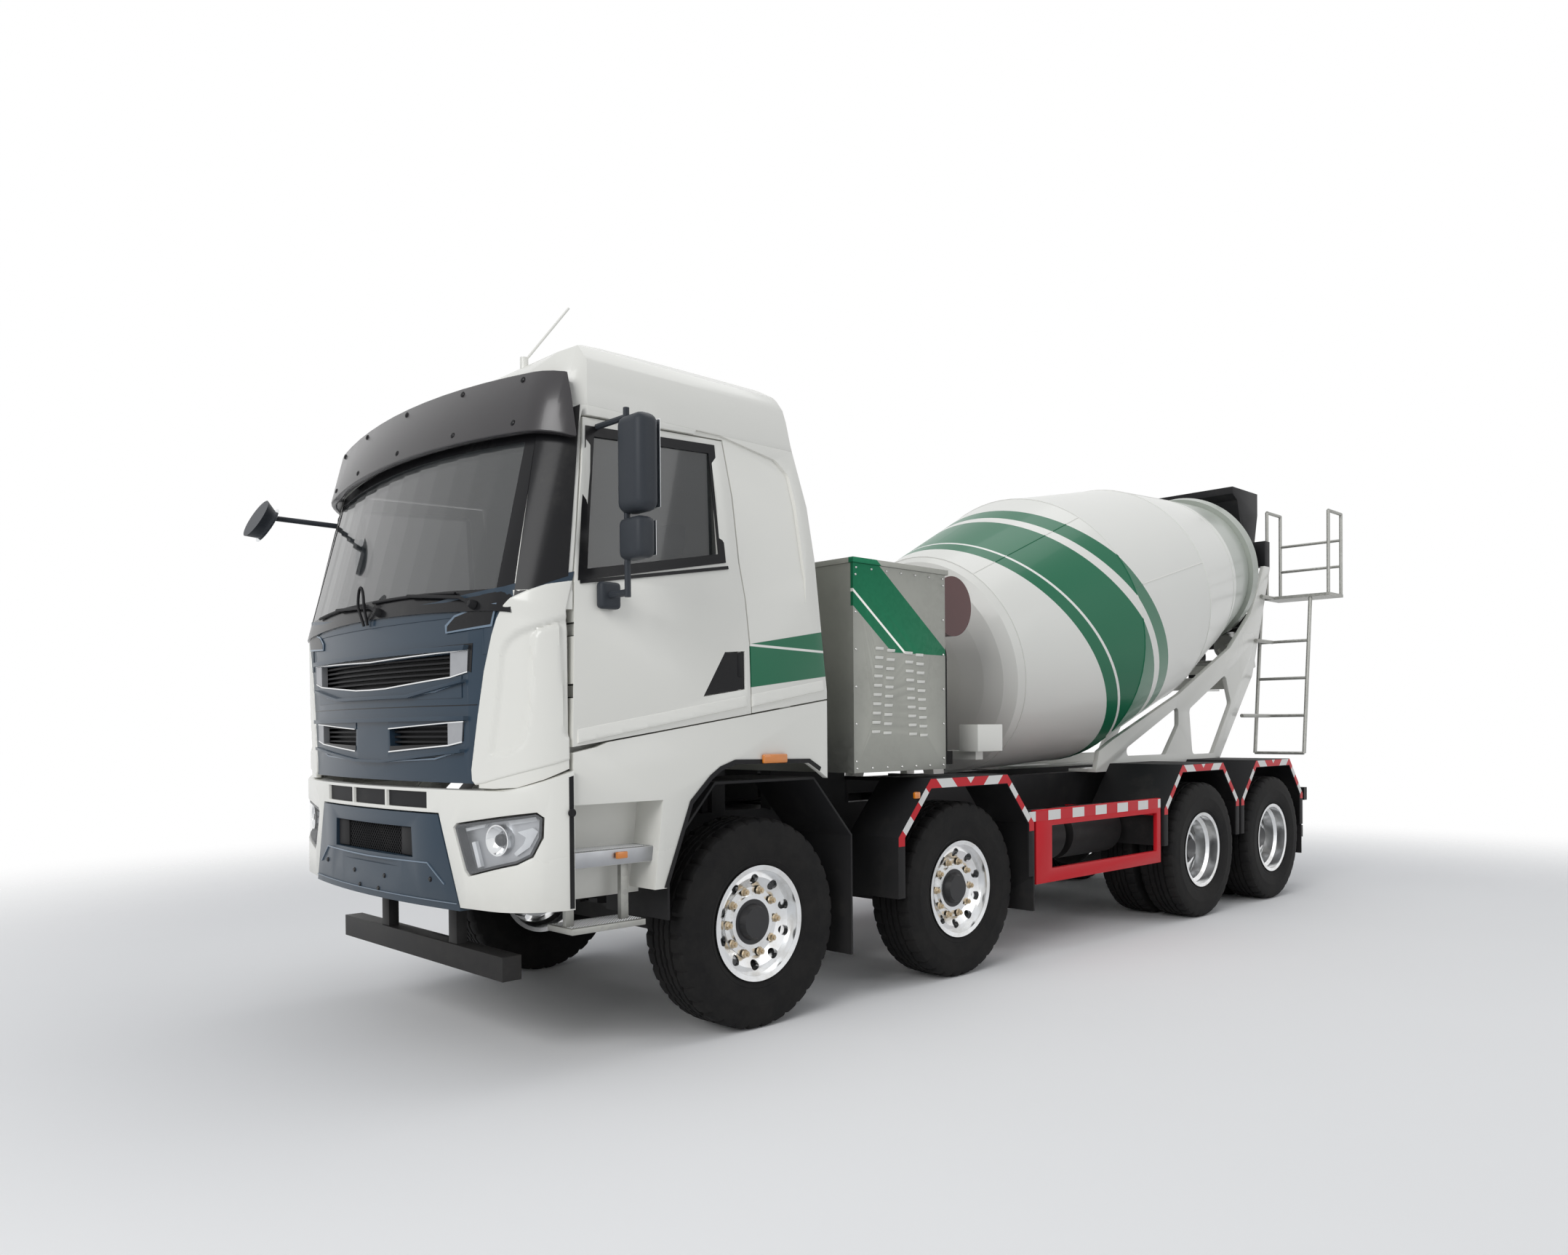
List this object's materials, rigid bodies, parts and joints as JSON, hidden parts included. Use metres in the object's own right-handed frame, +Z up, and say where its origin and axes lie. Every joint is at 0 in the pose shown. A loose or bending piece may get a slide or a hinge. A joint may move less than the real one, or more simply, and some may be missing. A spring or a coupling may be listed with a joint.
{
  "type": "concrete mixer truck",
  "caption": "Cab-over electric concrete mixer truck with an inclined drum on a pedestal, a feed hopper, a swinging chute, a rear ladder, a tilting cab, opening doors and twin-steer axles.",
  "frame": {"origin": "middle of the bounding box on the road", "axes": "+X forward, +Y to the truck's left, +Z up"},
  "size_m": [9.6842, 3.14, 3.92],
  "materials": {
    "white_paint": "warm white gloss paint",
    "slate_paint": "slate blue gloss paint",
    "black_paint": "satin black paint",
    "black_plastic": "moulded black plastic",
    "red_paint": "red gloss paint",
    "galvanised": "dull galvanised steel sheet",
    "tank_paint": "dark red paint",
    "roller_steel": "turned steel",
    "hose_rubber": "black rubber",
    "lamp_lens": "clear lens over a bright reflector",
    "window_glass": "tinted safety glass",
    "visor_tint": "smoked acrylic",
    "seat_cloth": "dark woven cloth",
    "tyre": "road tyre rubber",
    "polished_alloy": "polished alloy"
  },
  "bodies": {
    "chassis": {"chassis_frame": "black_paint", "bumper": "white_paint", "bumper_centre": "slate_paint", "lamps": "lamp_lens", "underrun_bars": "black_paint", "cab_fenders": "white_paint", "steer_axles": "black_paint", "drive_axles": "black_paint", "leaf_springs": "black_paint", "drive_motor": "black_paint", "mudguards": "black_plastic", "side_guards": "red_paint", "power_cabinet": "galvanised", "water_tank": "tank_paint", "drum_drive": "white_paint", "rear_pedestal": "white_paint", "drum_rollers": "roller_steel", "hoppers": "black_paint", "ladder": "galvanised", "power_hose": "hose_rubber"},
    "cab": {"cab_shell": "white_paint", "cab_roof": "white_paint", "grille_panel": "slate_paint", "grille_mesh": "black_plastic", "corner_panels": "white_paint", "windscreen": "window_glass", "sun_visor": "visor_tint", "dashboard": "black_plastic", "seats": "seat_cloth", "front_mirror": "black_plastic"},
    "door_left": {"door_left": "white_paint", "door_glass_left": "window_glass", "mirror_left": "black_plastic"},
    "door_right": {"door_right": "white_paint", "door_glass_right": "window_glass", "mirror_right": "black_plastic"},
    "drum": {"drum": "white_paint"},
    "chute_bracket": {"chute_bracket": "black_paint"},
    "chute_trough": {"chute_trough": "black_paint"},
    "knuckle_1_left": {"knuckle_1_left": "black_paint"},
    "wheels_1_left": {"tyre_1_left": "tyre", "wheel_1_left": "polished_alloy"},
    "knuckle_1_right": {"knuckle_1_right": "black_paint"},
    "wheels_1_right": {"tyre_1_right": "tyre", "wheel_1_right": "polished_alloy"},
    "knuckle_2_left": {"knuckle_2_left": "black_paint"},
    "wheels_2_left": {"tyre_2_left": "tyre", "wheel_2_left": "polished_alloy"},
    "knuckle_2_right": {"knuckle_2_right": "black_paint"},
    "wheels_2_right": {"tyre_2_right": "tyre", "wheel_2_right": "polished_alloy"},
    "wheels_3_left": {"tyre_3_left": "tyre", "wheel_3_left": "polished_alloy"},
    "wheels_3_right": {"tyre_3_right": "tyre", "wheel_3_right": "polished_alloy"},
    "wheels_4_left": {"tyre_4_left": "tyre", "wheel_4_left": "polished_alloy"},
    "wheels_4_right": {"tyre_4_right": "tyre", "wheel_4_right": "polished_alloy"}
  },
  "joints": [
    {"name": "cab_tilt", "type": "hinge", "parent": "chassis", "child": "cab", "pos_m": [4.58393, 0, 0.93], "axis": [0, 1, 0], "range_deg": [0, 45]},
    {"name": "door_left_hinge", "type": "hinge", "parent": "cab", "child": "door_left", "pos_m": [4.30893, 1.23, 2], "axis": [0, 0, 1], "range_deg": [-70, 0]},
    {"name": "door_right_hinge", "type": "hinge", "parent": "cab", "child": "door_right", "pos_m": [4.30893, -1.23, 2], "axis": [0, 0, -1], "range_deg": [-70, 0]},
    {"name": "drum_spin", "type": "hinge", "parent": "chassis", "child": "drum", "pos_m": [-0.92407, 0, 2.329], "axis": [-0.9666, 0, 0.2563], "continuous": true},
    {"name": "chute_swing", "type": "hinge", "parent": "chassis", "child": "chute_bracket", "pos_m": [-4.39607, 0, 2.04], "axis": [0, 0, -1], "range_deg": [0, 110]},
    {"name": "chute_tilt", "type": "hinge", "parent": "chute_bracket", "child": "chute_trough", "pos_m": [-4.39607, -0.13, 2.13], "axis": [1, 0, 0], "range_deg": [-15, 15]},
    {"name": "steer_1_left", "type": "hinge", "parent": "chassis", "child": "knuckle_1_left", "pos_m": [3.16393, 0.88, 0.542], "axis": [0, 0, 1], "range_deg": [-36, 36]},
    {"name": "spin_1_left", "type": "hinge", "parent": "knuckle_1_left", "child": "wheels_1_left", "pos_m": [3.16393, 1.025, 0.542], "axis": [0, 1, 0], "continuous": true},
    {"name": "steer_1_right", "type": "hinge", "parent": "chassis", "child": "knuckle_1_right", "pos_m": [3.16393, -0.88, 0.542], "axis": [0, 0, 1], "range_deg": [-36, 36]},
    {"name": "spin_1_right", "type": "hinge", "parent": "knuckle_1_right", "child": "wheels_1_right", "pos_m": [3.16393, -1.025, 0.542], "axis": [0, 1, 0], "continuous": true},
    {"name": "steer_2_left", "type": "hinge", "parent": "chassis", "child": "knuckle_2_left", "pos_m": [1.46393, 0.88, 0.542], "axis": [0, 0, 1], "range_deg": [-22, 22]},
    {"name": "spin_2_left", "type": "hinge", "parent": "knuckle_2_left", "child": "wheels_2_left", "pos_m": [1.46393, 1.025, 0.542], "axis": [0, 1, 0], "continuous": true},
    {"name": "steer_2_right", "type": "hinge", "parent": "chassis", "child": "knuckle_2_right", "pos_m": [1.46393, -0.88, 0.542], "axis": [0, 0, 1], "range_deg": [-22, 22]},
    {"name": "spin_2_right", "type": "hinge", "parent": "knuckle_2_right", "child": "wheels_2_right", "pos_m": [1.46393, -1.025, 0.542], "axis": [0, 1, 0], "continuous": true},
    {"name": "spin_3_left", "type": "hinge", "parent": "chassis", "child": "wheels_3_left", "pos_m": [-1.63607, 0.93, 0.542], "axis": [0, 1, 0], "continuous": true},
    {"name": "spin_3_right", "type": "hinge", "parent": "chassis", "child": "wheels_3_right", "pos_m": [-1.63607, -0.93, 0.542], "axis": [0, 1, 0], "continuous": true},
    {"name": "spin_4_left", "type": "hinge", "parent": "chassis", "child": "wheels_4_left", "pos_m": [-2.98607, 0.93, 0.542], "axis": [0, 1, 0], "continuous": true},
    {"name": "spin_4_right", "type": "hinge", "parent": "chassis", "child": "wheels_4_right", "pos_m": [-2.98607, -0.93, 0.542], "axis": [0, 1, 0], "continuous": true}
  ],
  "couplings": [
    {"joint": "steer_1_right", "follows": "steer_1_left", "ratio": 1},
    {"joint": "steer_2_left", "follows": "steer_1_left", "ratio": 0.61111},
    {"joint": "steer_2_right", "follows": "steer_1_left", "ratio": 0.61111}
  ]
}
